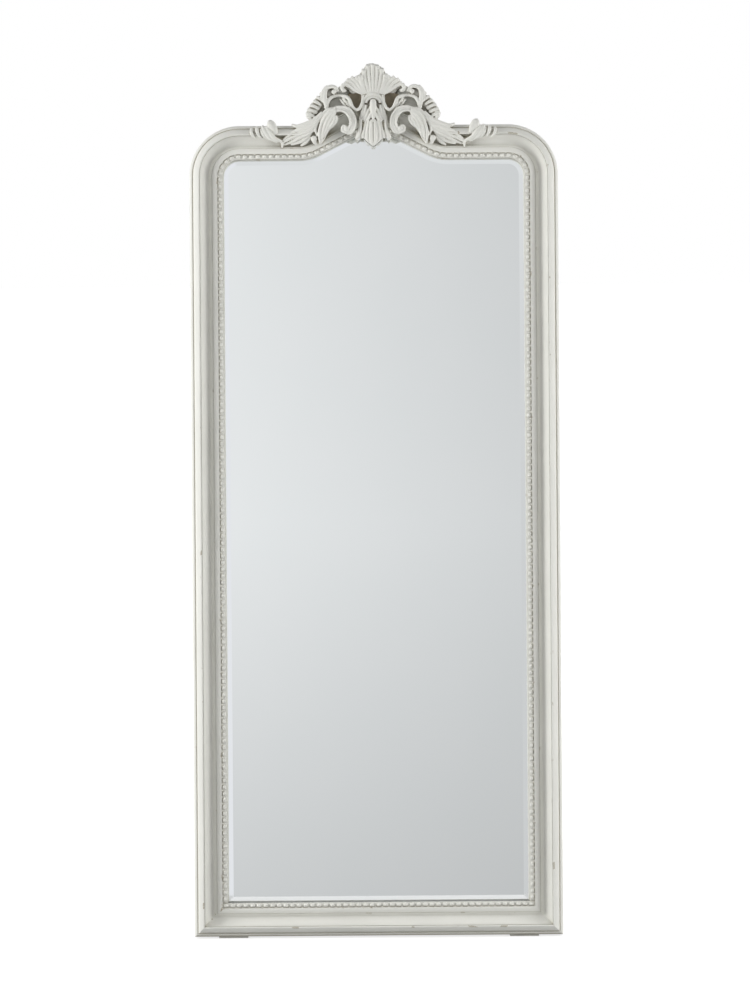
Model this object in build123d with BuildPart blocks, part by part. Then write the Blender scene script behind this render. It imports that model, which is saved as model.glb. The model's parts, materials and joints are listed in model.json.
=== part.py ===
from build123d import *
from math import cos, radians, sin
import os

# Free-standing full-length mirror: carved frame, bevelled glass and a folding easel leg with a sliding stay.
# Millimetres and degrees. The viewer stands at -Y, +Z is up, the floor is Z = 0 and the origin is the middle
# of the footprint. Pieces of the mirror are drawn on a leaning plane: u to the right, v up the mirror and
# w towards the viewer from the back of the frame.

# Outline of the frame
FRAME_WIDTH = 760.0
SHOULDER_HEIGHT = 1671.0
SHOULDER_RADIUS = 103.0
HEAD_RISE = 58.0
HEAD_ANGLE = 27.0
HOLLOW_RADIUS = 29.0
CROWN_RADIUS = 143.0
LEAN = 8.0

# Moulding, from the outer edge to the sight edge
SIDE_DEPTH = 20.0
BAND_WIDTH = 6.5
BAND_RISE = 7.0
BAND_FLAT = 1.5
STEP_RISE = 4.0
TORUS_RADIUS = 6.5
QUIRK_WIDTH = 1.0
COVE_WIDTH = 24.5
COVE_DROP = 16.5
COVE_FLOOR = 1.0
FILLET_RISE = 5.5
FILLET_WIDTH = 10.5
SEAT_DROP = 4.0
SEAT_WIDTH = 10.0
LIP_THICKNESS = 8.0
REBATE_WIDTH = 8.0

# Pearls
STRIP_THICKNESS = 1.5
STRIP_CLEARANCE = 0.5
BEAD_PITCH = 13.6
BEAD_WIDTH = 8.0
BEAD_HEIGHT = 3.6
BEAD_TAPER = 28.0

# Glass and back
GLASS_THICKNESS = 5.0
GLASS_RIM = 2.0
BEVEL_WIDTH = 19.0
GLASS_GAP = 1.2
SEAT_CLEARANCE = 0.1
BLOCK_LENGTH = 60.0
BLOCK_SPACING = 380.0
BOARD_THICKNESS = 5.0
BOARD_INSET = 14.0
BOARD_SCREW_INSET = 26.0
DOWEL_RADIUS = 5.0
DOWEL_LENGTH = 44.0
DOWEL_DEPTH = 8.0
DOWEL_CLEARANCE = 0.05

# Feet under the bottom rail
PAD_LIFT = 1.5
PAD_LENGTH = 60.0
PAD_DEPTH = 15.0
PAD_SETBACK = 2.0
PAD_INSET = 80.0

# Easel leg
OPEN = 16.0
HINGE_HEIGHT = 1240.0
BATTEN_THICKNESS = 20.0
BATTEN_HEIGHT = 70.0
BATTEN_END = 30.0
BATTEN_SCREW_INSET = 45.0
HINGE_GAP = 3.0
LEG_THICKNESS = 18.0
LEG_WIDTH = 270.0
UPRIGHT_WIDTH = 36.0
TOP_RAIL_HEIGHT = 64.0
MIDDLE_RAIL_HEIGHT = 52.0
FOOT_RAIL_HEIGHT = 44.0
FOOT_RAIL_DROP = 1090.0
FOOT_THICKNESS = 4.0
LEG_DOWEL_RADIUS = 4.0
LEG_DOWEL_LENGTH = 40.0

# Butt hinges
HINGE_LENGTH = 60.0
HINGE_SPACING = 120.0
KNUCKLES = 5
KNUCKLE_RADIUS = 4.0
KNUCKLE_GAP = 0.3
LEAF_WIDTH = 30.0
LEAF_THICKNESS = 2.0
LEAF_RELIEF = 0.6
HINGE_PIN_RADIUS = 2.0
PIN_CLEARANCE = 0.05

# Sliding stay
ARM_LENGTH = 420.0
ARM_WIDTH = 12.0
ARM_THICKNESS = 4.0
ARM_CLEARANCE = 0.6
STAY_PIN_RADIUS = 2.5
PIN_HEAD_RADIUS = 4.5
PIN_HEAD_HEIGHT = 2.0
SLOT_CLEARANCE = 0.1
TRACK_PLATE = 2.0
TRACK_FLANGE = 36.0
TRACK_END = 22.0
TRACK_BLOCK_THICKNESS = 10.0
TRACK_BLOCK_WIDTH = 120.0
TRACK_BLOCK_END = 24.0
BRACKET_DROP = 14.0
BRACKET_HEIGHT = 36.0
BRACKET_WIDTH = 44.0
BRACKET_CHEEK = 6.0

# Screws
SCREW_HEAD_RADIUS = 3.4
SCREW_HEAD_HEIGHT = 1.6
SCREW_RADIUS = 1.6
SCREW_CLEARANCE = 0.1
SHORT_SCREW = 9.0
LONG_SCREW = 14.0
BATTEN_SCREW = 36.0

# Crest
CREST_BACK = 14.0
CREST_GROUND = 39.0
RIDGE_BACK = 22.0
SCROLL_MIDDLE = 60.0
SCROLL_FIX = -29.5
CREST_SCREW = 46.0

# Values that follow from the sizes above
SIGHT = (BAND_WIDTH + BAND_FLAT + 2 * TORUS_RADIUS + QUIRK_WIDTH + COVE_WIDTH + COVE_FLOOR
         + FILLET_WIDTH + SEAT_WIDTH)
TORUS_FOOT = SIDE_DEPTH + BAND_RISE + STEP_RISE
COVE_BOTTOM = TORUS_FOOT - COVE_DROP
FILLET_TOP = COVE_BOTTOM + FILLET_RISE
SEAT = FILLET_TOP - SEAT_DROP
LIP_BACK = SEAT - LIP_THICKNESS
REBATE = SIGHT - REBATE_WIDTH
SEAT_START = SIGHT - SEAT_WIDTH
BEAD_LINE = SIGHT - SEAT_WIDTH / 2
JOINT_HEIGHT = SHOULDER_HEIGHT - SHOULDER_RADIUS
SLOPE_LENGTH = ((HEAD_RISE - (HOLLOW_RADIUS + CROWN_RADIUS) * (1 - cos(radians(HEAD_ANGLE))))
                / sin(radians(HEAD_ANGLE)))
HEAD_START = ((HOLLOW_RADIUS + CROWN_RADIUS) * sin(radians(HEAD_ANGLE))
              + SLOPE_LENGTH * cos(radians(HEAD_ANGLE)))
APEX = SHOULDER_HEIGHT + HEAD_RISE
GLASS_INSET = REBATE + GLASS_GAP
BEVEL_RISE = GLASS_THICKNESS - GLASS_RIM
GLASS_BACK = LIP_BACK - SEAT_CLEARANCE - GLASS_RIM - BEVEL_RISE * (SIGHT - GLASS_INSET) / BEVEL_WIDTH
BATTEN_BACK = -BOARD_THICKNESS - BATTEN_THICKNESS
BATTEN_LENGTH = FRAME_WIDTH - 2 * BATTEN_END
PAD_SPACING = FRAME_WIDTH - 2 * PAD_INSET
LEG_REAR = KNUCKLE_RADIUS + KNUCKLE_GAP
AXIS_DEPTH = BATTEN_BACK - LEG_REAR
LEG_FRONT = LEG_REAR + LEG_THICKNESS
SLOT_TOP = HINGE_HEIGHT - 2 * ARM_LENGTH * cos(radians(OPEN))
SLOT_BOTTOM = HINGE_HEIGHT - 2 * ARM_LENGTH
GAP_HALF = ARM_THICKNESS / 2 + ARM_CLEARANCE
TRACK_BACK = -BOARD_THICKNESS - TRACK_BLOCK_THICKNESS
MIDDLE_RAIL_BOTTOM = -ARM_LENGTH + BRACKET_DROP
INNER_HALF = LEG_WIDTH / 2 - UPRIGHT_WIDTH

lean = radians(LEAN)
splay = radians(OPEN - LEAN)
AXIS_Z = PAD_LIFT + HINGE_HEIGHT * cos(lean) + AXIS_DEPTH * sin(lean)
AXIS_OUT = HINGE_HEIGHT * sin(lean) - AXIS_DEPTH * cos(lean)
LEG_REACH = (AXIS_Z - LEG_REAR * sin(splay)) / cos(splay)
FRONT_OUT = ((BAND_WIDTH + BAND_FLAT + TORUS_RADIUS) * sin(lean) - TORUS_FOOT * cos(lean) - TORUS_RADIUS)
REAR_OUT = AXIS_OUT + LEG_REACH * sin(splay) - LEG_REAR * cos(splay)
MIRROR_Y = -(FRONT_OUT + REAR_OUT) / 2


def leaning_plane(origin, angle):
    """Plane with u to the right, v up and w to the front, its top tilted back by the angle."""
    turn = radians(angle)
    return Plane(origin=origin, x_dir=(1, 0, 0), z_dir=(0, -cos(turn), sin(turn)))


MIRROR = leaning_plane((0, MIRROR_Y, PAD_LIFT), LEAN)
LEG = leaning_plane(MIRROR.from_local_coords((0, HINGE_HEIGHT, AXIS_DEPTH)), LEAN - OPEN)
STAY = leaning_plane(LEG.from_local_coords((0, -ARM_LENGTH, 0)), LEAN + OPEN)


def turned(plane, point, x_dir, z_dir):
    """Plane at a point of another plane, with its directions given in that plane."""
    base = plane.from_local_coords(Vector(0, 0, 0))
    return Plane(
        origin=plane.from_local_coords(point),
        x_dir=plane.from_local_coords(Vector(*x_dir)) - base,
        z_dir=plane.from_local_coords(Vector(*z_dir)) - base,
    )


def backing(plane, points, w):
    """Planes at points of another plane that look out of its back."""
    return [turned(plane, (u, v, w), (-1, 0, 0), (0, 0, -1)) for u, v in points]


def moulding(plane):
    """Section of the frame, x inwards from the outer edge and y forwards from the back."""
    torus = BAND_WIDTH + BAND_FLAT
    quirk = torus + 2 * TORUS_RADIUS
    cove = quirk + QUIRK_WIDTH
    floor = cove + COVE_WIDTH
    fillet = floor + COVE_FLOOR
    with BuildSketch(plane) as section:
        with BuildLine():
            Line((0, 0), (0, SIDE_DEPTH))
            RadiusArc((0, SIDE_DEPTH), (BAND_WIDTH, SIDE_DEPTH + BAND_RISE), BAND_WIDTH + BAND_RISE)
            Polyline(
                (BAND_WIDTH, SIDE_DEPTH + BAND_RISE), (torus, SIDE_DEPTH + BAND_RISE), (torus, TORUS_FOOT))
            ThreePointArc(
                (torus, TORUS_FOOT),
                (torus + TORUS_RADIUS, TORUS_FOOT + TORUS_RADIUS),
                (quirk, TORUS_FOOT),
            )
            Line((quirk, TORUS_FOOT), (cove, TORUS_FOOT))
            EllipticalCenterArc((floor, TORUS_FOOT), COVE_WIDTH, COVE_DROP, start_angle=180, arc_size=90)
            Polyline(
                (floor, COVE_BOTTOM),
                (fillet, COVE_BOTTOM),
                (fillet, FILLET_TOP),
                (SEAT_START, FILLET_TOP),
                (SEAT_START, SEAT),
                (SIGHT, SEAT),
                (SIGHT, LIP_BACK),
                (REBATE, LIP_BACK),
                (REBATE, 0),
                (0, 0),
            )
        make_face()
    return section.sketch


def head_half(inset):
    """Draw the right half of the head, from the stile joint to the middle, in the open line."""
    shoulder = CenterArc(
        (FRAME_WIDTH / 2 - SHOULDER_RADIUS, JOINT_HEIGHT), SHOULDER_RADIUS - inset, 0, 90)
    shelf = Line(shoulder @ 1, (HEAD_START, SHOULDER_HEIGHT - inset))
    hollow = JernArc(shelf @ 1, shelf % 1, HOLLOW_RADIUS + inset, -HEAD_ANGLE)
    slope = PolarLine(hollow @ 1, SLOPE_LENGTH, direction=hollow % 1)
    JernArc(slope @ 1, slope % 1, CROWN_RADIUS - inset, HEAD_ANGLE)


def outline(inset, w):
    """Face bounded by the frame's outline, moved in from the outer edge."""
    side = FRAME_WIDTH / 2 - inset
    with BuildSketch(MIRROR.offset(w)) as face:
        with BuildLine():
            Polyline((0, inset), (side, inset), (side, JOINT_HEIGHT))
            head_half(inset)
            mirror(about=Plane.YZ)
        make_face()
    return face.sketch


def box_between(plane, u0, u1, v0, v1, w0, w1):
    """Square-cornered block between limits on a plane."""
    with BuildPart() as block:
        with BuildSketch(plane.offset(w0)):
            with Locations(((u0 + u1) / 2, (v0 + v1) / 2)):
                Rectangle(u1 - u0, v1 - v0)
        extrude(amount=w1 - w0)
    return block.part


def screws(planes, length):
    """Round-headed screws, one on each plane, their heads standing on it."""
    with BuildPart(*planes) as group:
        Cylinder(SCREW_HEAD_RADIUS, SCREW_HEAD_HEIGHT, align=(Align.CENTER, Align.CENTER, Align.MIN))
        Cylinder(SCREW_RADIUS, length, align=(Align.CENTER, Align.CENTER, Align.MAX))
    return group.part


def mirrored(part):
    """The other hand of a part."""
    return mirror(part, about=Plane.YZ)


def keep(part, label):
    """Name a part and write its file."""
    part.label = label
    export_step(part, f"parts/{label}.step")


os.makedirs("parts", exist_ok=True)

# Frame members. The stiles are mitred to the bottom rail and butt against the head.
half_width = FRAME_WIDTH / 2
right_mitre = turned(MIRROR, (half_width, 0, 0), (0, 0, 1), (1, 1, 0))
left_mitre = turned(MIRROR, (-half_width, 0, 0), (0, 0, 1), (-1, 1, 0))
mitre_middle = SIGHT * 0.42
right_mitre_dowel = turned(
    MIRROR, (half_width - mitre_middle, mitre_middle, DOWEL_DEPTH), (0, 0, 1), (1, 1, 0))
left_mitre_dowel = turned(
    MIRROR, (mitre_middle - half_width, mitre_middle, DOWEL_DEPTH), (0, 0, 1), (-1, 1, 0))
joint_dowels_right = [
    turned(MIRROR, (half_width - SIGHT * part, JOINT_HEIGHT, DOWEL_DEPTH), (1, 0, 0), (0, 1, 0))
    for part in (0.25, 0.6)
]
joint_dowels_left = [
    turned(MIRROR, (SIGHT * part - half_width, JOINT_HEIGHT, DOWEL_DEPTH), (1, 0, 0), (0, 1, 0))
    for part in (0.25, 0.6)
]
dowel_hole = DOWEL_RADIUS + DOWEL_CLEARANCE

# Board screws stand in a row round the back of the frame.
board_screw_side = half_width - BOARD_SCREW_INSET
stile_screw_heights = [JOINT_HEIGHT * part for part in (0.12, 0.3, 0.48, 0.66, 0.92)]
right_board_screws = backing(MIRROR, [(board_screw_side, v) for v in stile_screw_heights], -BOARD_THICKNESS)
left_board_screws = backing(MIRROR, [(-board_screw_side, v) for v in stile_screw_heights], -BOARD_THICKNESS)
bottom_board_screws = backing(
    MIRROR, [(board_screw_side * part, BOARD_SCREW_INSET) for part in (-0.7, 0, 0.7)], -BOARD_THICKNESS)
head_board_screws = backing(
    MIRROR,
    [(side * (half_width - SHOULDER_RADIUS) * part, SHOULDER_HEIGHT - BOARD_SCREW_INSET)
     for side in (-1, 1) for part in (0.72, 0.95)],
    -BOARD_THICKNESS,
)

# The batten is screwed through the board into the stiles.
batten_bottom = HINGE_HEIGHT + HINGE_GAP
batten_screw_points = [
    (side * (half_width - BATTEN_SCREW_INSET), batten_bottom + BATTEN_HEIGHT * part)
    for side in (-1, 1) for part in (0.28, 0.72)
]
batten_screw_planes = backing(MIRROR, batten_screw_points, BATTEN_BACK)
screw_hole = SCREW_RADIUS + SCREW_CLEARANCE

with BuildPart() as right_stile:
    extrude(moulding(turned(MIRROR, (half_width, 0, 0), (-1, 0, 0), (0, 1, 0))), amount=JOINT_HEIGHT)
    split(bisect_by=right_mitre, keep=Keep.TOP)
    with Locations(right_mitre_dowel, *joint_dowels_right):
        Cylinder(dowel_hole, DOWEL_LENGTH + 1, mode=Mode.SUBTRACT)
    with Locations(*right_board_screws):
        Cylinder(screw_hole, 2 * LONG_SCREW, mode=Mode.SUBTRACT)
    with Locations(*batten_screw_planes[2:]):
        Cylinder(screw_hole, 2 * BATTEN_SCREW, mode=Mode.SUBTRACT)
keep(right_stile.part, "right_stile")

with BuildPart() as left_stile:
    mirrored(right_stile.part)
keep(left_stile.part, "left_stile")

with BuildPart() as bottom_rail:
    extrude(moulding(turned(MIRROR, (-half_width, 0, 0), (0, 1, 0), (1, 0, 0))), amount=FRAME_WIDTH)
    split(bisect_by=right_mitre, keep=Keep.BOTTOM)
    split(bisect_by=left_mitre, keep=Keep.BOTTOM)
    with Locations(right_mitre_dowel, left_mitre_dowel):
        Cylinder(dowel_hole, DOWEL_LENGTH + 1, mode=Mode.SUBTRACT)
    with Locations(*bottom_board_screws):
        Cylinder(screw_hole, 2 * LONG_SCREW, mode=Mode.SUBTRACT)
keep(bottom_rail.part, "bottom_rail")

crest_screw_points = [
    (0, APEX - SIGHT * 0.28), (-SCROLL_MIDDLE, APEX + SCROLL_FIX), (SCROLL_MIDDLE, APEX + SCROLL_FIX),
]
crest_screw_planes = backing(MIRROR, crest_screw_points, -BOARD_THICKNESS)

with BuildPart() as head_rail:
    with BuildLine(MIRROR) as head_edge:
        head_half(0)
    sweep(
        moulding(turned(MIRROR, (half_width, JOINT_HEIGHT, 0), (-1, 0, 0), (0, 1, 0))),
        path=head_edge.wire(),
    )
    mirror(about=Plane.YZ)
    with Locations(*joint_dowels_right, *joint_dowels_left):
        Cylinder(dowel_hole, DOWEL_LENGTH + 1, mode=Mode.SUBTRACT)
    with Locations(*head_board_screws):
        Cylinder(screw_hole, 2 * LONG_SCREW, mode=Mode.SUBTRACT)
    with Locations(*crest_screw_planes):
        Cylinder(screw_hole, 2 * CREST_SCREW, mode=Mode.SUBTRACT)
keep(head_rail.part, "head_rail")

with BuildPart(right_mitre_dowel, left_mitre_dowel, *joint_dowels_right, *joint_dowels_left) as joint_dowels:
    Cylinder(DOWEL_RADIUS, DOWEL_LENGTH)
keep(joint_dowels.part, "joint_dowels")

# Pearl strips lie in the seat beside the sight edge.
strip_width = SEAT_WIDTH - 2 * STRIP_CLEARANCE
bead_radius = BEAD_WIDTH / 2
strip_top = SEAT + STRIP_THICKNESS
stile_strip_bottom = SIGHT - STRIP_CLEARANCE - strip_width
stile_strip_length = JOINT_HEIGHT - stile_strip_bottom
stile_beads = round(stile_strip_length / BEAD_PITCH)
bottom_strip_length = FRAME_WIDTH - 2 * (SIGHT + STRIP_CLEARANCE)
bottom_beads = round(bottom_strip_length / BEAD_PITCH)
bead_side = half_width - BEAD_LINE

with BuildPart() as right_bead_strip:
    with BuildSketch(MIRROR.offset(SEAT)):
        with Locations((bead_side, stile_strip_bottom + stile_strip_length / 2)):
            Rectangle(strip_width, stile_strip_length)
    extrude(amount=STRIP_THICKNESS)
    with BuildSketch(MIRROR.offset(strip_top)):
        with Locations((bead_side, stile_strip_bottom + stile_strip_length / 2)):
            with GridLocations(0, stile_strip_length / stile_beads, 1, stile_beads):
                RegularPolygon(bead_radius, 6)
    extrude(amount=BEAD_HEIGHT, taper=BEAD_TAPER)
keep(right_bead_strip.part, "right_bead_strip")

with BuildPart() as left_bead_strip:
    mirrored(right_bead_strip.part)
keep(left_bead_strip.part, "left_bead_strip")

with BuildPart() as bottom_bead_strip:
    with BuildSketch(MIRROR.offset(SEAT)):
        with Locations((0, BEAD_LINE)):
            Rectangle(bottom_strip_length, strip_width)
    extrude(amount=STRIP_THICKNESS)
    with BuildSketch(MIRROR.offset(strip_top)):
        with Locations((0, BEAD_LINE)):
            with GridLocations(bottom_strip_length / bottom_beads, 0, bottom_beads, 1):
                RegularPolygon(bead_radius, 6)
    extrude(amount=BEAD_HEIGHT, taper=BEAD_TAPER)
keep(bottom_bead_strip.part, "bottom_bead_strip")

with BuildPart() as head_bead_strip:
    with BuildLine(MIRROR) as bead_path:
        head_half(BEAD_LINE)
    with BuildSketch(turned(MIRROR, (bead_side, JOINT_HEIGHT, SEAT), (1, 0, 0), (0, 1, 0))):
        Rectangle(strip_width, STRIP_THICKNESS, align=(Align.CENTER, Align.MAX))
    sweep(path=bead_path.wire())
    head_beads = round(bead_path.wire().length / BEAD_PITCH)
    for index in range(head_beads):
        spot = bead_path.wire().position_at((index + 0.5) / head_beads)
        along = bead_path.wire().tangent_at((index + 0.5) / head_beads)
        with BuildSketch(Plane(spot + MIRROR.z_dir * strip_top, x_dir=along, z_dir=MIRROR.z_dir)):
            RegularPolygon(bead_radius, 6)
        extrude(amount=BEAD_HEIGHT, taper=BEAD_TAPER)
    mirror(about=Plane.YZ)
keep(head_bead_strip.part, "head_bead_strip")

# Glass with its bevel, and what holds it
with BuildPart() as mirror_glass:
    extrude(outline(GLASS_INSET, GLASS_BACK), amount=GLASS_RIM)
    loft(
        [
            outline(GLASS_INSET, GLASS_BACK + GLASS_RIM).face(),
            outline(GLASS_INSET + BEVEL_WIDTH, GLASS_BACK + GLASS_THICKNESS).face(),
        ],
        ruled=True,
    )
keep(mirror_glass.part, "mirror_glass")

with BuildPart() as packing_sheet:
    extrude(outline(GLASS_INSET, 0), amount=GLASS_BACK)
keep(packing_sheet.part, "packing_sheet")

with BuildPart() as setting_blocks:
    with BuildSketch(MIRROR.offset(GLASS_BACK)):
        with Locations((0, REBATE + GLASS_GAP / 2)):
            with GridLocations(BLOCK_SPACING, 0, 2, 1):
                Rectangle(BLOCK_LENGTH, GLASS_GAP)
    extrude(amount=GLASS_RIM)
keep(setting_blocks.part, "setting_blocks")

board_screw_planes = [*right_board_screws, *left_board_screws, *bottom_board_screws, *head_board_screws]
with BuildPart() as backing_board:
    extrude(outline(BOARD_INSET, -BOARD_THICKNESS), amount=BOARD_THICKNESS)
    with Locations(*board_screw_planes, *batten_screw_planes, *crest_screw_planes):
        Cylinder(screw_hole, 3 * BATTEN_SCREW, mode=Mode.SUBTRACT)
keep(backing_board.part, "backing_board")
keep(screws(board_screw_planes, LONG_SCREW), "backing_screws")

# Batten that carries the hinges
hinge_middles = [-HINGE_SPACING / 2, HINGE_SPACING / 2]
leaf_screw_offsets = [-HINGE_LENGTH / 3, 0, HINGE_LENGTH / 3]
leaf_screw_line = LEAF_WIDTH * 0.62
fixed_screw_points = [
    (middle + offset, HINGE_HEIGHT + leaf_screw_line)
    for middle in hinge_middles for offset in leaf_screw_offsets
]
fixed_screw_planes = backing(MIRROR, fixed_screw_points, BATTEN_BACK - LEAF_THICKNESS)

with BuildPart() as hinge_batten:
    add(box_between(
        MIRROR, -BATTEN_LENGTH / 2, BATTEN_LENGTH / 2, batten_bottom, batten_bottom + BATTEN_HEIGHT,
        BATTEN_BACK, -BOARD_THICKNESS))
    with Locations(*batten_screw_planes):
        Cylinder(screw_hole, 3 * BATTEN_SCREW, mode=Mode.SUBTRACT)
    with Locations(*fixed_screw_planes):
        Cylinder(screw_hole, 2 * LONG_SCREW, mode=Mode.SUBTRACT)
keep(hinge_batten.part, "hinge_batten")
keep(screws(batten_screw_planes, BATTEN_SCREW), "batten_screws")
keep(screws(fixed_screw_planes, LONG_SCREW), "hinge_fixed_screws")


def hinge_leaf(plane, middle, direction, surface, stations, screw_planes):
    """Leaf of a butt hinge on a surface, up or down from the axis, with knuckles at some of the stations."""
    pitch = HINGE_LENGTH / KNUCKLES
    start = KNUCKLE_RADIUS + LEAF_RELIEF
    near, far = sorted((direction * start, direction * LEAF_WIDTH))
    root_low, root_high = sorted((0, direction * (start + LEAF_THICKNESS)))
    with BuildPart() as leaf:
        add(box_between(
            plane, middle - HINGE_LENGTH / 2, middle + HINGE_LENGTH / 2, near, far,
            surface - LEAF_THICKNESS, surface))
        for station in stations:
            left = middle - HINGE_LENGTH / 2 + station * pitch + KNUCKLE_GAP / 2
            right = left + pitch - KNUCKLE_GAP
            add(box_between(plane, left, right, root_low, root_high, surface - LEAF_THICKNESS, surface))
            with Locations(turned(plane, ((left + right) / 2, 0, 0), (0, 1, 0), (1, 0, 0))):
                Cylinder(KNUCKLE_RADIUS, right - left)
        with Locations(turned(plane, (middle, 0, 0), (0, 1, 0), (1, 0, 0))):
            Cylinder(HINGE_PIN_RADIUS + PIN_CLEARANCE, 2 * HINGE_LENGTH, mode=Mode.SUBTRACT)
        with Locations(*screw_planes):
            Cylinder(screw_hole, 4 * LEAF_THICKNESS, mode=Mode.SUBTRACT)
    return leaf.part


HINGE = turned(MIRROR, (0, HINGE_HEIGHT, AXIS_DEPTH), (1, 0, 0), (0, 0, 1))
moving_screw_points = [
    (middle + offset, -leaf_screw_line) for middle in hinge_middles for offset in leaf_screw_offsets
]
moving_screw_planes = backing(LEG, moving_screw_points, LEG_REAR - LEAF_THICKNESS)
fixed_stations = range(0, KNUCKLES, 2)
moving_stations = range(1, KNUCKLES, 2)
for side, middle, first in (("left", hinge_middles[0], 0), ("right", hinge_middles[1], 3)):
    keep(
        hinge_leaf(HINGE, middle, 1, LEG_REAR, fixed_stations, fixed_screw_planes[first:first + 3]),
        f"{side}_hinge_fixed_leaf",
    )
    keep(
        hinge_leaf(LEG, middle, -1, LEG_REAR, moving_stations, moving_screw_planes[first:first + 3]),
        f"{side}_hinge_moving_leaf",
    )
    with BuildPart(turned(HINGE, (middle, 0, 0), (0, 1, 0), (1, 0, 0))) as hinge_pin:
        Cylinder(HINGE_PIN_RADIUS, HINGE_LENGTH + 2 * KNUCKLE_GAP)
        pin_end = HINGE_LENGTH / 2 + KNUCKLE_GAP
        with Locations((0, 0, pin_end), (0, 0, -pin_end - LEAF_THICKNESS)):
            Cylinder(KNUCKLE_RADIUS * 0.8, LEAF_THICKNESS, align=(Align.CENTER, Align.CENTER, Align.MIN))
    keep(hinge_pin.part, f"{side}_hinge_pin")

# Rubber pads that level the leaning frame
with BuildPart() as right_foot_pad:
    add(box_between(
        MIRROR, (PAD_SPACING - PAD_LENGTH) / 2, (PAD_SPACING + PAD_LENGTH) / 2, -3 * PAD_LIFT - PAD_DEPTH, 0,
        PAD_SETBACK, PAD_SETBACK + PAD_DEPTH))
    split(bisect_by=Plane.XY, keep=Keep.TOP)
keep(right_foot_pad.part, "right_foot_pad")

with BuildPart() as left_foot_pad:
    mirrored(right_foot_pad.part)
keep(left_foot_pad.part, "left_foot_pad")

# Easel leg, drawn open on a plane through the hinge axis
leg_half = LEG_WIDTH / 2
rail_spans = {
    "leg_top_rail": (-HINGE_GAP - TOP_RAIL_HEIGHT, -HINGE_GAP),
    "leg_middle_rail": (MIDDLE_RAIL_BOTTOM, MIDDLE_RAIL_BOTTOM + MIDDLE_RAIL_HEIGHT),
    "leg_foot_rail": (-FOOT_RAIL_DROP, -FOOT_RAIL_DROP + FOOT_RAIL_HEIGHT),
}
leg_middle = LEG_REAR + LEG_THICKNESS / 2
leg_dowel_planes = [
    turned(LEG, (side * INNER_HALF, low + (high - low) * part, leg_middle), (0, 1, 0), (1, 0, 0))
    for low, high in rail_spans.values() for part in (0.2, 0.6) for side in (-1, 1)
]
leg_dowel_hole = LEG_DOWEL_RADIUS + DOWEL_CLEARANCE
bracket_screw_points = [
    (side * BRACKET_WIDTH * 0.32, MIDDLE_RAIL_BOTTOM + BRACKET_HEIGHT * part)
    for side in (-1, 1) for part in (0.3, 0.8)
]
bracket_screw_planes = backing(LEG, bracket_screw_points, LEG_REAR - TRACK_PLATE)
floor_cut = Plane.XY.offset(FOOT_THICKNESS)
leg_below = -LEG_REACH - LEG_THICKNESS

with BuildPart() as right_leg_upright:
    add(box_between(LEG, INNER_HALF, leg_half, leg_below, -HINGE_GAP, LEG_REAR, LEG_FRONT))
    split(bisect_by=floor_cut, keep=Keep.TOP)
    with Locations(*leg_dowel_planes[1::2]):
        Cylinder(leg_dowel_hole, LEG_DOWEL_LENGTH + 1, mode=Mode.SUBTRACT)
keep(right_leg_upright.part, "right_leg_upright")

with BuildPart() as left_leg_upright:
    mirrored(right_leg_upright.part)
keep(left_leg_upright.part, "left_leg_upright")

with BuildPart() as right_leg_foot:
    add(box_between(LEG, INNER_HALF, leg_half, leg_below, -FOOT_RAIL_DROP, LEG_REAR, LEG_FRONT))
    split(bisect_by=floor_cut, keep=Keep.BOTTOM)
    split(bisect_by=Plane.XY, keep=Keep.TOP)
keep(right_leg_foot.part, "right_leg_foot")

with BuildPart() as left_leg_foot:
    mirrored(right_leg_foot.part)
keep(left_leg_foot.part, "left_leg_foot")

rail_screws = {
    "leg_top_rail": moving_screw_planes,
    "leg_middle_rail": bracket_screw_planes,
    "leg_foot_rail": [],
}
for rail, (low, high) in rail_spans.items():
    with BuildPart() as leg_rail:
        add(box_between(LEG, -INNER_HALF, INNER_HALF, low, high, LEG_REAR, LEG_FRONT))
        with Locations(*leg_dowel_planes):
            Cylinder(leg_dowel_hole, LEG_DOWEL_LENGTH + 1, mode=Mode.SUBTRACT)
        if rail_screws[rail]:
            with Locations(*rail_screws[rail]):
                Cylinder(screw_hole, 2 * LONG_SCREW, mode=Mode.SUBTRACT)
    keep(leg_rail.part, rail)

with BuildPart(*leg_dowel_planes) as leg_dowels:
    Cylinder(LEG_DOWEL_RADIUS, LEG_DOWEL_LENGTH)
keep(leg_dowels.part, "leg_dowels")
keep(screws(moving_screw_planes, LONG_SCREW - SCREW_HEAD_HEIGHT), "hinge_moving_screws")

# Stay bracket under the middle rail
stay_pin_hole = STAY_PIN_RADIUS + PIN_CLEARANCE
pivot_plane = turned(LEG, (0, -ARM_LENGTH, 0), (0, 1, 0), (1, 0, 0))
with BuildPart() as stay_bracket:
    add(box_between(
        LEG, -BRACKET_WIDTH / 2, BRACKET_WIDTH / 2, MIDDLE_RAIL_BOTTOM, MIDDLE_RAIL_BOTTOM + BRACKET_HEIGHT,
        LEG_REAR - TRACK_PLATE, LEG_REAR))
    for side in (-1, 1):
        inner, outer = sorted((side * GAP_HALF, side * (GAP_HALF + TRACK_PLATE)))
        add(box_between(
            LEG, inner, outer, -ARM_LENGTH, MIDDLE_RAIL_BOTTOM + BRACKET_HEIGHT, -BRACKET_CHEEK,
            LEG_REAR - TRACK_PLATE / 2))
        with Locations(turned(LEG, ((inner + outer) / 2, -ARM_LENGTH, 0), (0, 1, 0), (1, 0, 0))):
            Cylinder(BRACKET_CHEEK, TRACK_PLATE)
    with Locations(pivot_plane):
        Cylinder(stay_pin_hole, 4 * (GAP_HALF + TRACK_PLATE), mode=Mode.SUBTRACT)
    with Locations(*bracket_screw_planes):
        Cylinder(screw_hole, 4 * TRACK_PLATE, mode=Mode.SUBTRACT)
keep(stay_bracket.part, "stay_bracket")
keep(screws(bracket_screw_planes, LONG_SCREW - SCREW_HEAD_HEIGHT), "stay_bracket_screws")


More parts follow.
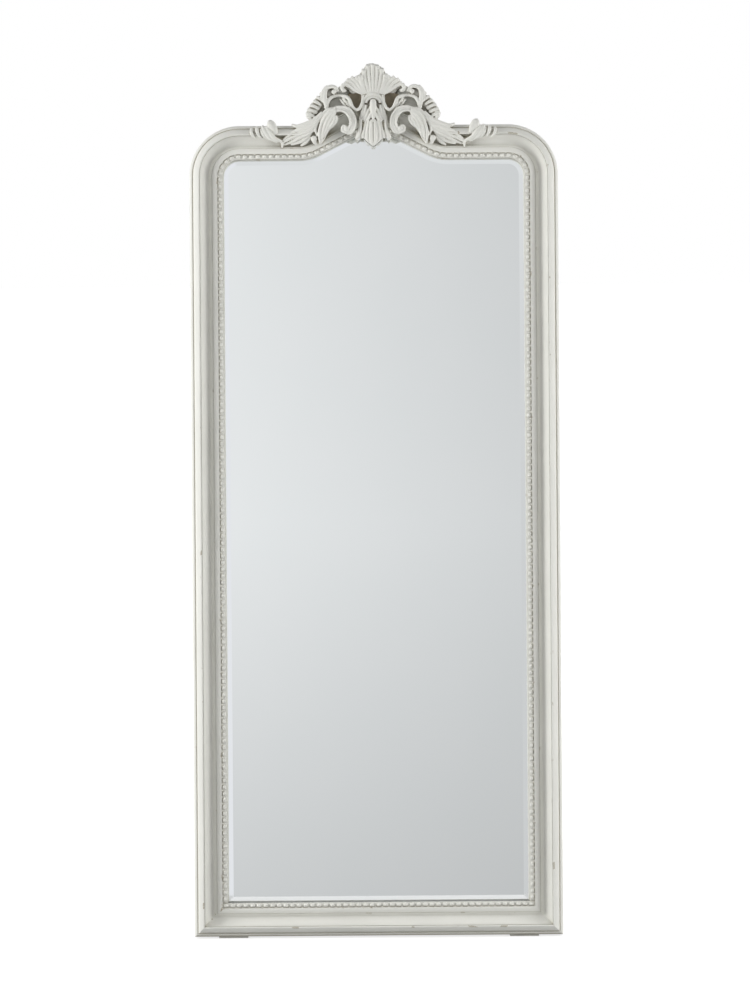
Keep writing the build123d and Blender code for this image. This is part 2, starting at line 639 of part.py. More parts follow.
def headed_pin(plane, half_length):
    """Pin across the stay with a head at each end."""
    with BuildPart(plane) as pin:
        Cylinder(STAY_PIN_RADIUS, 2 * half_length)
        with Locations((0, 0, half_length), (0, 0, -half_length - PIN_HEAD_HEIGHT)):
            Cylinder(PIN_HEAD_RADIUS, PIN_HEAD_HEIGHT, align=(Align.CENTER, Align.CENTER, Align.MIN))
    return pin.part


keep(headed_pin(pivot_plane, GAP_HALF + TRACK_PLATE), "stay_pivot_pin")

# Arm, hung from the bracket and running in the track
slide_plane = turned(STAY, (0, -ARM_LENGTH, 0), (0, 1, 0), (1, 0, 0))
with BuildPart() as stay_arm:
    with BuildSketch(turned(STAY, (-ARM_THICKNESS / 2, -ARM_LENGTH / 2, 0), (0, 1, 0), (1, 0, 0))):
        SlotCenterToCenter(ARM_LENGTH, ARM_WIDTH)
        with GridLocations(ARM_LENGTH, 0, 2, 1):
            Circle(stay_pin_hole, mode=Mode.SUBTRACT)
    extrude(amount=ARM_THICKNESS)
keep(stay_arm.part, "stay_arm")
keep(headed_pin(slide_plane, GAP_HALF + TRACK_PLATE + ARM_CLEARANCE / 2), "stay_slide_pin")

# Slotted track on its block. The upper end of the slot stops the leg.
track_low = SLOT_BOTTOM - TRACK_END
track_high = SLOT_TOP + TRACK_END
track_screw_points = [
    (side * BRACKET_WIDTH * 0.32, v)
    for side in (-1, 1) for v in (track_low + TRACK_END / 2, track_high - TRACK_END / 2)
]
track_screw_planes = backing(MIRROR, track_screw_points, TRACK_BACK - TRACK_PLATE)
with BuildPart() as stay_track:
    add(box_between(
        MIRROR, -BRACKET_WIDTH / 2, BRACKET_WIDTH / 2, track_low, track_high,
        TRACK_BACK - TRACK_PLATE, TRACK_BACK))
    for side in (-1, 1):
        inner, outer = sorted((side * GAP_HALF, side * (GAP_HALF + TRACK_PLATE)))
        add(box_between(
            MIRROR, inner, outer, track_low, track_high, -TRACK_FLANGE, TRACK_BACK - TRACK_PLATE / 2))
    slot_middle = (SLOT_TOP + SLOT_BOTTOM) / 2
    with BuildSketch(turned(MIRROR, (-BRACKET_WIDTH, slot_middle, AXIS_DEPTH), (0, 1, 0), (1, 0, 0))):
        SlotCenterToCenter(SLOT_TOP - SLOT_BOTTOM, 2 * (STAY_PIN_RADIUS + SLOT_CLEARANCE))
    extrude(amount=2 * BRACKET_WIDTH, mode=Mode.SUBTRACT)
    with Locations(*track_screw_planes):
        Cylinder(screw_hole, 4 * TRACK_PLATE, mode=Mode.SUBTRACT)
keep(stay_track.part, "stay_track")
keep(screws(track_screw_planes, SHORT_SCREW), "stay_track_screws")

with BuildPart() as track_block:
    add(box_between(
        MIRROR, -TRACK_BLOCK_WIDTH / 2, TRACK_BLOCK_WIDTH / 2, track_low - TRACK_BLOCK_END,
        track_high + TRACK_BLOCK_END, TRACK_BACK, -BOARD_THICKNESS))
    with Locations(*track_screw_planes):
        Cylinder(screw_hole, 2 * SHORT_SCREW, mode=Mode.SUBTRACT)
keep(track_block.part, "track_block")


CREST = turned(MIRROR, (0, APEX, 0), (1, 0, 0), (0, 0, 1))


def ridge(start, end, widths, tops):
    """Tapered ridge of carving from one point to another, with its widths and heights at both ends."""
    along = (Vector(*end) - Vector(*start)).normalized()
    with BuildPart() as rise:
        for (u, v), width, top in zip((start, end), widths, tops):
            with BuildSketch(turned(CREST, (u, v, 0), (-along.Y, along.X, 0), (along.X, along.Y, 0))):
                Polygon(
                    (-width / 2, RIDGE_BACK), (width / 2, RIDGE_BACK), (width / 2, top - width * 0.45),
                    (width * 0.16, top), (-width * 0.16, top), (-width / 2, top - width * 0.45), align=None,
                )
        loft(ruled=True)
    return rise.part


def scroll_band(centre, radius, band, start, size, top):
    """Curved band of carving with a sloping front edge."""
    with BuildPart() as scroll:
        with BuildSketch(CREST.offset(CREST_BACK)):
            with BuildLine():
                outer = CenterArc(centre, radius, start, size)
                inner = CenterArc(centre, radius - band, start, size)
                Line(outer @ 0, inner @ 0)
                Line(outer @ 1, inner @ 1)
            make_face()
        extrude(amount=top - CREST_BACK)
        chamfer(scroll.faces().sort_by(Axis(CREST.origin, CREST.z_dir))[-1].edges(), band * 0.28)
    return scroll.part


def bud(centre, radius, top):
    """Round bud of carving."""
    with BuildPart() as knob:
        with BuildSketch(CREST.offset(CREST_BACK)):
            with Locations(centre):
                RegularPolygon(radius, 10)
        extrude(amount=top - CREST_BACK - radius * 0.5)
        with BuildSketch(CREST.offset(top - radius * 0.5)):
            with Locations(centre):
                RegularPolygon(radius, 10)
        extrude(amount=radius * 0.5, taper=42)
    return knob.part


# Shell with its plume, side lobes, eye and pendant leaf. Points are measured from the top of the head.
with BuildPart() as crest_shell:
    with BuildSketch(CREST.offset(CREST_BACK)):
        with BuildLine():
            Polyline(
                (0, 65), (14, 63), (25, 51), (28, 39), (44, 37), (58, 30), (62, 17), (52, 7), (34, -1),
                (24, -17), (22, -34), (27, -48), (19, -69), (19, -87), (0, -105),
            )
            mirror(about=Plane.YZ)
        make_face()
    extrude(amount=CREST_GROUND - CREST_BACK)
    add(ridge((0, 4), (0, 69), (6, 11), (42, 46)))
    for side in (-1, 1):
        for foot, tip in ((4, (11.5, 66)), (8, (22, 56))):
            add(ridge((side * foot, 4), (side * tip[0], tip[1]), (5, 10), (42, 45)))
        for tip in ((33, 39), (46, 37), (57, 31), (63, 20)):
            add(ridge((side * 15, 4), (side * tip[0], tip[1]), (5, 12), (42, 47)))
        for top, tip, width in (
            ((6, -44), (11, -95), 8), ((11, -48), (18, -87), 7), ((27, -51), (34, -91), 9),
        ):
            add(ridge((side * top[0], top[1]), (side * tip[0], tip[1]), (width, width * 0.6), (43, 37)))
    add(scroll_band((0, -11), 22, 6, -15, 210, 46))
    add(scroll_band((0, -11), 12.5, 5, -15, 210, 44))
    add(bud((0, -16), 7, 47))
    add(ridge((0, -16), (0, -50), (12, 9), (46, 45)))
    add(ridge((0, -40), (0, -106), (12, 5), (46, 38)))
    add(head_rail.part, mode=Mode.SUBTRACT)
    add(head_bead_strip.part, mode=Mode.SUBTRACT)
    with Locations(*crest_screw_planes):
        Cylinder(screw_hole, 2 * CREST_SCREW, mode=Mode.SUBTRACT)
keep(crest_shell.part, "crest_shell")

# Scroll spray: C-scroll, arch, acanthus leaf, upper leaf, fronds on the rail and the wrapped knob
with BuildPart() as crest_right_scroll:
    add(scroll_band((SCROLL_MIDDLE, -51), 27.5, 12, 30, 255, 50))
    add(bud((55, -69), 7, 50))
    add(scroll_band((70, -21), 23, 9, 30, 160, 46))
    add(ridge((48, -24), (30, -30), (8, 6), (44, 40)))
    add(ridge((80, -32), (108, -94), (10, 6), (46, 40)))
    add(ridge((90, -28), (116, -88), (10, 6), (45, 39)))
    add(ridge((90, -36), (99, -97), (8, 5), (43, 38)))
    add(bud((122, -88), 6.5, 42))
    add(ridge((70, -1), (88, 19), (8, 12), (42, 43)))
    add(ridge((86, 20), (112, -7), (13, 19), (42, 48)))
    add(ridge((106, -3), (138, -35), (17, 11), (47, 43)))
    add(bud((81, 8), 4.5, 45))
    add(ridge((110, -60), (185, -82), (11, 5), (45, 37)))
    add(ridge((110, -68), (187, -98), (9, 4), (42, 33)))
    add(ridge((108, -77), (160, -94), (8, 4), (38, 29)))
    add(ridge((176, -79), (206, -62), (8, 10), (39, 43)))
    add(bud((206, -61), 10, 46))
    add(ridge((206, -69), (253, -71), (8, 5), (42, 39)))
    for crown, foot in (
        ((216, -60), (209, -79)), ((228, -61), (222, -79)), ((239, -62), (234, -78)), ((249, -64), (246, -77)),
    ):
        add(ridge(crown, foot, (8, 6), (44, 36)))
    add(crest_shell.part, mode=Mode.SUBTRACT)
    add(head_rail.part, mode=Mode.SUBTRACT)
    add(head_bead_strip.part, mode=Mode.SUBTRACT)
    with Locations(*crest_screw_planes):
        Cylinder(screw_hole, 2 * CREST_SCREW, mode=Mode.SUBTRACT)
keep(crest_right_scroll.part, "crest_right_scroll")

with BuildPart() as crest_left_scroll:
    mirrored(crest_right_scroll.part)
keep(crest_left_scroll.part, "crest_left_scroll")
keep(screws(crest_screw_planes, CREST_SCREW), "crest_screws")
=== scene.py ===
"""Dresses the floor mirror: painted mouldings, pearls, carved crest, silvered glass, back and studio."""
import json
from math import atan2, cos, pi, radians, sin

import bmesh
import bpy
from mathutils import Matrix, Vector


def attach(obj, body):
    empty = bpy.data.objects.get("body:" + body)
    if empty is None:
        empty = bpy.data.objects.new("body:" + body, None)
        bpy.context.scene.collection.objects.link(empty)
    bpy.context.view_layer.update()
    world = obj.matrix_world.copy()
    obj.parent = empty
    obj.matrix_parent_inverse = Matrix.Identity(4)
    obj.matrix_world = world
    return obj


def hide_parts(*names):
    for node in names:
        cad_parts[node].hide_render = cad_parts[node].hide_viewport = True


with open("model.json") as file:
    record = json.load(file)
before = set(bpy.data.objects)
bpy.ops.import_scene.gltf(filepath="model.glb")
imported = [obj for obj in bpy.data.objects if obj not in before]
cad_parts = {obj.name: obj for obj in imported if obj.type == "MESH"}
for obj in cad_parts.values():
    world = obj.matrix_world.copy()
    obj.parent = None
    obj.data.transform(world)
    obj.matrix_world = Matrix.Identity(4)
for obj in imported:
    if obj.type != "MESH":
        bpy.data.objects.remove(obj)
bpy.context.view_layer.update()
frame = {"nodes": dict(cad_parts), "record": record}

# Sizes are in millimetres on the leaning mirror plane, unless a comment says metres.

# Outline of the frame
FRAME_WIDTH = 760.0
SHOULDER_HEIGHT = 1671.0
SHOULDER_RADIUS = 103.0
HEAD_RISE = 58.0
HEAD_ANGLE = radians(27.0)
HOLLOW_RADIUS = 29.0
CROWN_RADIUS = 143.0
SIGHT = 68.0
LEAN = radians(8.0)
HINGE_HEIGHT = 1240.0
HINGE_DEPTH = -29.3

# Moulding: places across it run in from the outer edge, heights run forward from its back
SIDE_DEPTH = 20.0
BAND_WIDTH = 5.8
BAND_ROUND = 7.0
MEMBER_TOP = 37.2
COVE_TOP = 31.0
COVE_START = 22.0
COVE_MIDDLE = 38.5
COVE_END = 46.0
COVE_FLOOR = 14.5
FILLET_TOP = 20.0
FILLET_END = 58.0
SEAT = 16.0
LIP_BACK = 8.0
REBATE = 60.0
RISE_STEPS = 8

# Pearls
BEAD_LINE = 63.0
BEAD_OVERRUN = 5.0
BEAD_CORNER = 6.5
BEAD_PITCH = 13.6
BEAD_LENGTH = 10.6
BEAD_WIDTH = 8.4
BEAD_HEIGHT = 4.9
BEAD_SINK = 0.4
STRIP_WIDTH = 9.0
STRIP_THICKNESS = 1.5
CUSP_REACH = 4.4
CUSP_LENGTH = 6.4
CUSP_WIDTH = 4.2
CUSP_DROP = 0.2

# Carving, with its grain in metres
CREST_GRAIN = 0.00095
CREST_SWELL = 7.0
CREST_REACH = 125.0
CREST_SIDES = 10
CREST_STEPS = 14
# Heights of the dark sheets that paint shade into the recesses beside the crest's collars
CREST_HOLLOW_LOW = 34.0
CREST_HOLLOW_HIGH = 38.6

# Eased arrises of the plain wood, in metres
EASED_ARRIS = 0.0014
EASED_LENGTH = 0.017

# Paint: painted shade lies where surfaces close in within these reaches, in metres
CREAM_SHADE = (0.80, 0.797, 0.745)
CREAM_LIGHT = (0.84, 0.837, 0.785)
BARE_WOOD = (0.40, 0.35, 0.26)
GROOVE_SHADE_REACH = 0.004
GROOVE_SHADE_DEPTH = (0.35, 0.85)
CHIP_REACH = 0.004
FRAME_CHIPS = 0.65

JOINT_HEIGHT = SHOULDER_HEIGHT - SHOULDER_RADIUS
APEX = SHOULDER_HEIGHT + HEAD_RISE
SLOPE = (HEAD_RISE - (HOLLOW_RADIUS + CROWN_RADIUS) * (1 - cos(HEAD_ANGLE))) / sin(HEAD_ANGLE)
HEAD_START = (HOLLOW_RADIUS + CROWN_RADIUS) * sin(HEAD_ANGLE) + SLOPE * cos(HEAD_ANGLE)

# The hinge axis ties the mirror plane to the frame.
hinge = next(j for j in frame["record"]["behaviour"]["joints"] if j["name"] == "leg_fold")
lean_turn = Matrix(((1, 0, 0), (0, sin(LEAN), -cos(LEAN)), (0, cos(LEAN), sin(LEAN)))).to_4x4()
hinge_place = lean_turn @ Vector((0, HINGE_HEIGHT, HINGE_DEPTH)) / 1000
MIRROR = Matrix.Translation(Vector(hinge["pos_m"]) - hinge_place) @ lean_turn @ Matrix.Scale(0.001, 4)


def finish_piece(name, bm, body, nodes, material, smooth=True):
    """Turns a bmesh drawn on the mirror plane into a piece that rides a body and stands for its nodes."""
    bm.transform(MIRROR)
    mesh = bpy.data.meshes.new(name)
    bm.to_mesh(mesh)
    bm.free()
    return finish_mesh(name, mesh, body, nodes, material, smooth)


def finish_mesh(name, mesh, body, nodes, material, smooth=True):
    """Makes a piece of a mesh that is already in place."""
    mesh.polygons.foreach_set("use_smooth", [smooth] * len(mesh.polygons))
    piece = bpy.data.objects.new(name, mesh)
    bpy.context.scene.collection.objects.link(piece)
    mesh.materials.append(material)
    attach(piece, body)
    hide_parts(*nodes)
    return piece


# Finishes


def new_material(name, roughness, colour=(0.8, 0.8, 0.8)):
    """Plain material and the nodes that make it."""
    material = bpy.data.materials.new(name)
    material.use_nodes = True
    nodes = material.node_tree.nodes
    shader = nodes["Principled BSDF"]
    shader.inputs["Base Color"].default_value = (*colour, 1)
    shader.inputs["Roughness"].default_value = roughness
    return material, nodes, material.node_tree.links, shader


def noise(nodes, links, scale, detail, stretch=(1, 1, 1)):
    """Noise on the piece's own coordinates."""
    place = nodes.new("ShaderNodeTexCoord")
    spread = nodes.new("ShaderNodeMapping")
    spread.inputs["Scale"].default_value = stretch
    pattern = nodes.new("ShaderNodeTexNoise")
    pattern.inputs["Scale"].default_value = scale
    pattern.inputs["Detail"].default_value = detail
    links.new(place.outputs["Object"], spread.inputs["Vector"])
    links.new(spread.outputs["Vector"], pattern.inputs["Vector"])
    return pattern


def ramp(nodes, links, source, low, high, dark=(0, 0, 0), light=(1, 1, 1)):
    """Colour ramp between two positions."""
    band = nodes.new("ShaderNodeValToRGB")
    band.color_ramp.elements[0].position = low
    band.color_ramp.elements[1].position = high
    band.color_ramp.elements[0].color = (*dark, 1)
    band.color_ramp.elements[1].color = (*light, 1)
    links.new(source, band.inputs["Fac"])
    return band


def mix(nodes, links, factor, first, second):
    """Mix of two colours; each may be a socket or a plain colour."""
    blend = nodes.new("ShaderNodeMix")
    blend.data_type = "RGBA"
    sockets = ((blend.inputs["Factor"], factor), (blend.inputs[6], first), (blend.inputs[7], second))
    for socket, value in sockets:
        if hasattr(value, "is_linked"):
            links.new(value, socket)
        elif isinstance(value, tuple):
            socket.default_value = (*value, 1)
        else:
            socket.default_value = value
    return blend.outputs[2]


def cream_paint(name, hollow_shade, shade_reach, shade_depth, groove, chips=0.0):
    """Off-white satin paint, brushed, with painted shade darkening its grooves and hollows, and chips along
    arrises.
    """
    material, nodes, links, shader = new_material(name, 0.42)
    cloud = noise(nodes, links, 9.0, 3.0)
    tone = mix(nodes, links, ramp(nodes, links, cloud.outputs["Fac"], 0.3, 0.7).outputs["Color"],
               CREAM_SHADE, CREAM_LIGHT)
    painted = tone
    # Painted shade: the colour darkens toward the groove and hollow shade colours where ambient occlusion
    # finds surfaces closing in
    for reach, (deep, clear), colour in (
        (GROOVE_SHADE_REACH, GROOVE_SHADE_DEPTH, groove), (shade_reach, shade_depth, hollow_shade),
    ):
        hollow = nodes.new("ShaderNodeAmbientOcclusion")
        hollow.inputs["Distance"].default_value = reach
        hollow.samples = 8
        depth = ramp(nodes, links, hollow.outputs["AO"], deep, clear, (1, 1, 1), (0, 0, 0))
        painted = mix(nodes, links, depth.outputs["Color"], painted, colour)
    if chips:
        arris = nodes.new("ShaderNodeAmbientOcclusion")
        arris.inside = True
        arris.inputs["Distance"].default_value = CHIP_REACH
        arris.samples = 8
        edge = ramp(nodes, links, arris.outputs["AO"], 0.7, 0.9, (1, 1, 1), (0, 0, 0))
        spots = ramp(nodes, links, noise(nodes, links, 48.0, 5.0).outputs["Fac"], chips, chips + 0.03)
        worn = mix(nodes, links, spots.outputs["Color"], (0, 0, 0), edge.outputs["Color"])
        painted = mix(nodes, links, worn, painted, BARE_WOOD)
    links.new(painted, shader.inputs["Base Color"])
    brush = noise(nodes, links, 160.0, 2.0, (1, 1, 0.25))
    bump = nodes.new("ShaderNodeBump")
    bump.inputs["Strength"].default_value = 0.06
    bump.inputs["Distance"].default_value = 0.001
    links.new(brush.outputs["Fac"], bump.inputs["Height"])
    links.new(bump.outputs["Normal"], shader.inputs["Normal"])
    return material


# Paints for the frame, pearls, crest and plain wood, each with its own painted shade colours for grooves and
# hollows
frame_paint = cream_paint("frame_paint", hollow_shade=(0.42, 0.39, 0.30), shade_reach=0.02, shade_depth=(0.25, 0.7),
                          groove=(0.60, 0.58, 0.50), chips=FRAME_CHIPS)
pearl_paint = cream_paint("pearl_paint", hollow_shade=(0.56, 0.53, 0.45), shade_reach=0.02, shade_depth=(0.1, 0.5),
                          groove=(0.72, 0.70, 0.62))
crest_paint = cream_paint("crest_paint", hollow_shade=(0.20, 0.17, 0.11), shade_reach=0.014, shade_depth=(0.15, 0.7),
                          groove=(0.42, 0.40, 0.33))
plain_paint = cream_paint("plain_paint", hollow_shade=(0.55, 0.52, 0.43), shade_reach=0.01, shade_depth=(0.2, 0.6),
                          groove=(0.7, 0.68, 0.6))


def mottled(name, roughness, first, second, scale, stretch=(1, 1, 1), relief=0.15, metallic=0.0):
    """Finish whose colour wanders between two tones, with a fine relief."""
    material, nodes, links, shader = new_material(name, roughness)
    shader.inputs["Metallic"].default_value = metallic
    pattern = noise(nodes, links, scale, 4.0, stretch)
    band = ramp(nodes, links, pattern.outputs["Fac"], 0.35, 0.7)
    links.new(mix(nodes, links, band.outputs["Color"], first, second), shader.inputs["Base Color"])
    if relief:
        bump = nodes.new("ShaderNodeBump")
        bump.inputs["Strength"].default_value = relief
        bump.inputs["Distance"].default_value = 0.0004
        links.new(pattern.outputs["Fac"], bump.inputs["Height"])
        links.new(bump.outputs["Normal"], shader.inputs["Normal"])
    return material


# Painted shadow: dark line on the bottom rail's rebate wall beside the glass
painted_rebate_shadow = mottled("painted_rebate_shadow", 0.7, (0.31, 0.31, 0.29), (0.37, 0.37, 0.35), 90.0)
# Painted shadow: dark colour of the sheets in the recesses beside the crest's collars
painted_hollow_shadow = mottled("painted_hollow_shadow", 0.6, (0.15, 0.125, 0.08), (0.24, 0.205, 0.145), 70.0)
silver = mottled("silver", 0.015, (0.895, 0.912, 0.912), (0.905, 0.918, 0.918), 6.0, relief=0.0, metallic=1.0)
card = mottled("card", 0.85, (0.36, 0.33, 0.28), (0.46, 0.43, 0.37), 300.0)
rubber = mottled("rubber", 0.75, (0.015, 0.015, 0.015), (0.032, 0.032, 0.032), 500.0)
white_rubber = mottled("white_rubber", 0.7, (0.76, 0.75, 0.70), (0.83, 0.82, 0.77), 500.0)
beech = mottled("beech", 0.6, (0.41, 0.26, 0.13), (0.54, 0.36, 0.20), 60.0, (1, 6, 6))
zinc = mottled("zinc", 0.34, (0.48, 0.48, 0.47), (0.62, 0.62, 0.60), 220.0, (1, 1, 4), 0.08, 1.0)
board = mottled("board", 0.55, (0.115, 0.065, 0.032), (0.19, 0.115, 0.06), 420.0)

slot_finish = {
    "cream_paint": frame_paint,
    "cream_carved": crest_paint,
    "cream_plain": plain_paint,
    "silvered_glass": silver,
    "grey_card": card,
    "black_rubber": rubber,
    "white_rubber": white_rubber,
    "brown_board": board,
    "beech": beech,
    "zinc_steel": zinc,
}
for subpart in frame["record"]["subparts"]:
    node = frame["nodes"][subpart["node"]]
    node.data.materials.clear()
    node.data.materials.append(slot_finish[subpart["material_slot"]])

# Frame members


def arc(middle, radius, start, end, steps):
    """Points on an arc, in radians."""
    turn = (end - start) / steps
    return [(middle[0] + radius[0] * cos(start + turn * i), middle[1] + radius[1] * sin(start + turn * i))
            for i in range(steps + 1)]


def moulding_section():
    """Section of the frame with softened arrises: distance in from the outer edge, height from the back."""
    band = arc((BAND_WIDTH, SIDE_DEPTH), (BAND_WIDTH, BAND_ROUND), pi, pi / 2, 8)
    slope = [
        (8.0, 27.0), (8.2, 29.0), (9.1, 30.8), (10.8, 32.3), (12.8, 33.7), (15.0, 35.0), (17.0, 36.1),
        (18.4, 36.8), (19.5, MEMBER_TOP), (20.4, 36.8), (20.9, 36.0), (21.2, 34.6), (21.3, 31.0),
    ]
    cove = arc((COVE_MIDDLE, COVE_TOP), (COVE_MIDDLE - COVE_START, COVE_TOP - COVE_FLOOR), pi, 1.5 * pi, 14)
    rise_height = FILLET_TOP - 0.5 - COVE_FLOOR
    rise = []
    for step in range(1, RISE_STEPS + 1):
        t = step / RISE_STEPS
        across = COVE_MIDDLE + (COVE_END - COVE_MIDDLE) * t
        rise.append((across, COVE_FLOOR + rise_height * (1 - cos(pi * t)) / 2))
    groove = [(6.4, 26.8), (6.9, 26.3), (7.8, 26.3)]
    quirk = [(21.4, 29.0), (21.8, 29.0)]
    fillet = [
        (COVE_END + 0.4, FILLET_TOP - 1.1), (COVE_END + 0.9, FILLET_TOP - 0.4), (COVE_END + 1.8, FILLET_TOP),
        (FILLET_END - 1.2, FILLET_TOP), (FILLET_END - 0.2, FILLET_TOP - 0.5), (FILLET_END, FILLET_TOP - 1.2),
    ]
    lip = [
        (FILLET_END, SEAT), (SIGHT - 1.5, SEAT), (SIGHT - 0.4, SEAT - 0.4), (SIGHT, SEAT - 1.5),
        (SIGHT, LIP_BACK), (REBATE, LIP_BACK), (REBATE, 0),
    ]
    return [(0, 0)] + band + groove + slope + quirk + cove + rise + fillet + lip


def head_line(inset):
    """Line along the head at some distance in from its outer edge, from the right joint to the left one."""
    side = FRAME_WIDTH / 2 - SHOULDER_RADIUS
    hollow = HOLLOW_RADIUS + inset
    crown = CROWN_RADIUS - inset
    right = (
        arc((side, JOINT_HEIGHT), (SHOULDER_RADIUS - inset,) * 2, 0, pi / 2, 24)
        + arc((HEAD_START, SHOULDER_HEIGHT + HOLLOW_RADIUS), (hollow, hollow),
              -pi / 2, -pi / 2 - HEAD_ANGLE, 8)
        + arc((0, APEX - CROWN_RADIUS), (crown, crown), pi / 2 - HEAD_ANGLE, pi / 2, 12)
    )
    return right + [(-u, v) for u, v in right[-2::-1]]


def loop_of(bm, places):
    """Closed loop of edges through some places."""
    verts = [bm.verts.new(place) for place in places]
    return [bm.edges.new((a, b)) for a, b in zip(verts, verts[1:] + verts[:1])]


def bridged(loops_of_places):
    """Solid whose sections are given one after another."""
    bm = bmesh.new()
    first = last = loop_of(bm, loops_of_places[0])
    for places in loops_of_places[1:]:
        loop = loop_of(bm, places)
        bmesh.ops.bridge_loops(bm, edges=last + loop)
        last = loop
    bmesh.ops.holes_fill(bm, edges=first + last, sides=0)
    bmesh.ops.recalc_face_normals(bm, faces=bm.faces)
    return bm


section = moulding_section()
half_width = FRAME_WIDTH / 2


def sharpen(piece, angle=0.6):
    """Keeps the mouldings' creases crisp and the curves smooth."""
    bm = bmesh.new()
    bm.from_mesh(piece.data)
    for edge in bm.edges:
        edge.smooth = edge.calc_face_angle(0) < angle
    bm.to_mesh(piece.data)
    bm.free()


def frame_member(name, loops, lip_paint_and_shadow=frame_paint):
    """One painted member; the thin wall of its rebate beside the glass takes a second material, which on the
    bottom rail paints a shadow line.
    """
    bm = bridged(loops)
    # Faces of the rebate wall beside the glass take the second slot, a painted shadow on the bottom rail
    for face in bm.faces:
        heights = [vert.co.z for vert in face.verts]
        if min(heights) > LIP_BACK - 0.1 and max(heights) < SEAT - 1.4:
            face.material_index = 1
    piece = finish_piece(name + "_wood", bm, "mirror", [name], frame_paint)
    piece.data.materials.append(lip_paint_and_shadow)
    sharpen(piece)


for side, name in ((-1, "left_stile"), (1, "right_stile")):
    frame_member(name, [
        [(side * (half_width - s), s, w) for s, w in section],
        [(side * (half_width - s), JOINT_HEIGHT, w) for s, w in section],
    ])
# The bottom rail's rebate wall carries a painted shadow line beside the glass
frame_member("bottom_rail", [
    [(side * (half_width - s), s, w) for s, w in section] for side in (-1, 1)
], painted_rebate_shadow)
head_lines = [[(u, v, w) for u, v in head_line(s)] for s, w in section]
frame_member("head_rail", [list(loop) for loop in zip(*head_lines)])

# Pearls


def pearl_row(name, line, outside=-1):
    """Strip and pearls along a line of places on the seat, with the fillet's cusps between them."""
    places = [Vector(place) for place in line]
    lengths = [(b - a).length for a, b in zip(places, places[1:])]
    count = max(1, round(sum(lengths) / BEAD_PITCH))
    pitch = sum(lengths) / count
    bm = bmesh.new()
    for i in range(count):
        along = pitch * (i + 0.5)
        span = 0
        while span < len(lengths) - 1 and along > lengths[span]:
            along -= lengths[span]
            span += 1
        way = (places[span + 1] - places[span]).normalized()
        place = places[span] + way * along
        across = Vector((-way.y, way.x)) * outside
        pose = (Matrix.Translation((place.x, place.y, SEAT + STRIP_THICKNESS - BEAD_SINK))
                @ Matrix.Rotation(atan2(way.y, way.x), 4, "Z")
                @ Matrix.Diagonal((BEAD_LENGTH / 2, BEAD_WIDTH / 2, BEAD_HEIGHT, 1)))
        bmesh.ops.create_uvsphere(bm, u_segments=10, v_segments=5, radius=1.0, matrix=pose)
        cusp = place + way * pitch / 2 + across * CUSP_REACH
        pose = (Matrix.Translation((cusp.x, cusp.y, SEAT)) @ Matrix.Rotation(atan2(way.y, way.x), 4, "Z")
                @ Matrix.Diagonal((CUSP_LENGTH / 2, CUSP_WIDTH / 2, FILLET_TOP - SEAT - CUSP_DROP, 1)))
        bmesh.ops.create_icosphere(bm, subdivisions=1, radius=1.0, matrix=pose)
    half = STRIP_WIDTH / 2
    loops = []
    for i, place in enumerate(places):
        before = (places[i] - places[i - 1]).normalized() if i else (places[1] - places[0]).normalized()
        after = (places[i + 1] - places[i]).normalized() if i < len(places) - 1 else before
        way = (before + after).normalized()
        across = Vector((-way.y, way.x))
        loops.append([
            (place.x + across.x * a, place.y + across.y * a, SEAT + h)
            for a, h in ((-half, 0), (-half, STRIP_THICKNESS), (half, STRIP_THICKNESS), (half, 0))
        ])
    strip = bridged(loops)
    mesh = bpy.data.meshes.new("strip")
    strip.to_mesh(mesh)
    strip.free()
    bm.from_mesh(mesh)
    bpy.data.meshes.remove(mesh)
    piece = finish_piece(name + "_pearls", bm, "mirror", [name], pearl_paint)
    sharpen(piece, 0.9)


bead_side = half_width - BEAD_LINE
row_end = bead_side + BEAD_OVERRUN
pearl_row("bottom_bead_strip", [(-row_end, BEAD_LINE), (row_end, BEAD_LINE)])
pearl_row("left_bead_strip", [(-bead_side, BEAD_LINE + BEAD_CORNER), (-bead_side, JOINT_HEIGHT)], 1)
pearl_row("right_bead_strip", [(bead_side, BEAD_LINE + BEAD_CORNER), (bead_side, JOINT_HEIGHT)])
pearl_row("head_bead_strip", head_line(BEAD_LINE))

# Crest


def curve_through(points, steps):
    """Smooth run of places through some control places, all their values together."""
    run = []
    last = len(points) - 1
    for i in range(steps + 1):
        along = i / steps * last
        k = min(int(along), last - 1)
        t = along - k
        p0, p1, p2, p3 = (points[min(max(k + j, 0), last)] for j in (-1, 0, 1, 2))
        run.append([
            0.5 * (2 * b + (c - a) * t + (2 * a - 5 * b + 4 * c - d) * t * t
                   + (3 * b - a - 3 * c + d) * t ** 3)
            for a, b, c, d in zip(p0, p1, p2, p3)
        ])
    return run


def swell(u):
    """How far the carving stands forward of its first height, most in the middle."""
    return CREST_SWELL * max(0, 1 - abs(u) / CREST_REACH)


def stroke(bm, side, points, flat=1.0, steps=CREST_STEPS):
    """Tapered rounded stroke of carving; each control point is across, up, height and radius."""
    run = curve_through([(side * u, APEX + v, w + swell(u), r) for u, v, w, r in points], steps)
    rings = []
    for i, (u, v, w, r) in enumerate(run):
        ahead = Vector(run[min(i + 1, steps)][:3]) - Vector(run[max(i - 1, 0)][:3])
        ahead.normalize()
        across = Vector((0, 0, 1)).cross(ahead).normalized()
        rise = ahead.cross(across)
        turn = Matrix((across, rise * flat, ahead)).transposed().to_4x4()
        ring = bmesh.ops.create_circle(bm, cap_ends=False, radius=max(r, 0.4), segments=CREST_SIDES,
                                       matrix=Matrix.Translation((u, v, w)) @ turn)
        rings.append(list({edge for vert in ring["verts"] for edge in vert.link_edges}))
        if i:
            bmesh.ops.bridge_loops(bm, edges=rings[-2] + rings[-1])
    for ring in (rings[0], rings[-1]):
        bmesh.ops.holes_fill(bm, edges=ring, sides=0)


